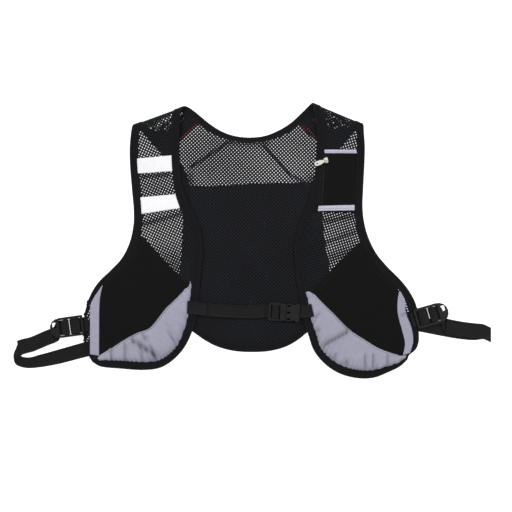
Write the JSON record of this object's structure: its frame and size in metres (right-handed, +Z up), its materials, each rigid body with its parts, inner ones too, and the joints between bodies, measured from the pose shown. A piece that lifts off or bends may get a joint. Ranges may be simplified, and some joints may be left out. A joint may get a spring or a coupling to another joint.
{
  "type": "running hydration vest",
  "caption": "Close-fitting mesh running vest laid flat, with front pockets, shoulder straps, a fastened chest strap and adjustable side straps.",
  "frame": {"origin": "on the ground under the middle of the laid-out vest", "axes": "+Y from the hem towards the neck, +X to the right as seen from the front, +Z up out of the front"},
  "size_m": [0.7388, 0.4262, 0.0142],
  "materials": {
    "mesh": "open net",
    "binding": "matt folded tape",
    "shell": "matt woven",
    "red_tape": "woven tape",
    "pocket_cloth": "matt stretch cloth",
    "reflective": "satin reflective",
    "white_tape": "smooth reflective",
    "zip": "zip teeth on tape",
    "metal": "satin",
    "webbing": "ribbed webbing",
    "plastic": "satin moulded"
  },
  "bodies": {
    "vest": {"back_mesh": "mesh", "front_mesh_left": "mesh", "front_mesh_right": "mesh", "neck_binding": "binding", "back_hem_binding": "binding", "opening_binding_left": "binding", "opening_binding_right": "binding", "armhole_binding_left": "binding", "armhole_binding_right": "binding", "back_shell": "shell", "shoulder_patch_left": "shell", "shoulder_patch_right": "shell", "red_tape_left_lower": "red_tape", "red_tape_left_upper": "red_tape", "red_tape_right_lower": "red_tape", "red_tape_right_upper": "red_tape", "pocket_left": "pocket_cloth", "pocket_right": "pocket_cloth", "chest_pocket": "pocket_cloth", "reflective_panel_left": "reflective", "reflective_panel_right": "reflective", "side_stripe_left": "reflective", "side_stripe_right": "reflective", "chest_pocket_strip_upper": "reflective", "chest_pocket_strip_lower": "reflective", "white_strip_upper": "white_tape", "white_strip_lower": "white_tape", "zip_tape": "zip", "zip_slider": "metal", "chest_strap_left": "webbing", "chest_strap_tail": "webbing", "chest_strap_right": "webbing", "side_strap_left": "webbing", "side_strap_right": "webbing", "side_strap_tail_left": "webbing", "side_strap_tail_right": "webbing", "side_tab_left": "webbing", "side_tab_right": "webbing", "buckle_prongs": "plastic", "buckle_socket": "plastic", "ladder_lock_left": "plastic", "ladder_lock_right": "plastic"},
    "zip_pull": {"zip_pull": "metal"}
  },
  "joints": [
    {"name": "zip_pull_hinge", "type": "hinge", "parent": "vest", "child": "zip_pull", "pos_m": [0.11405, 0.12412, 0.0119], "axis": [-0.342, 0.9397, 0], "range_deg": [0, 140]}
  ]
}
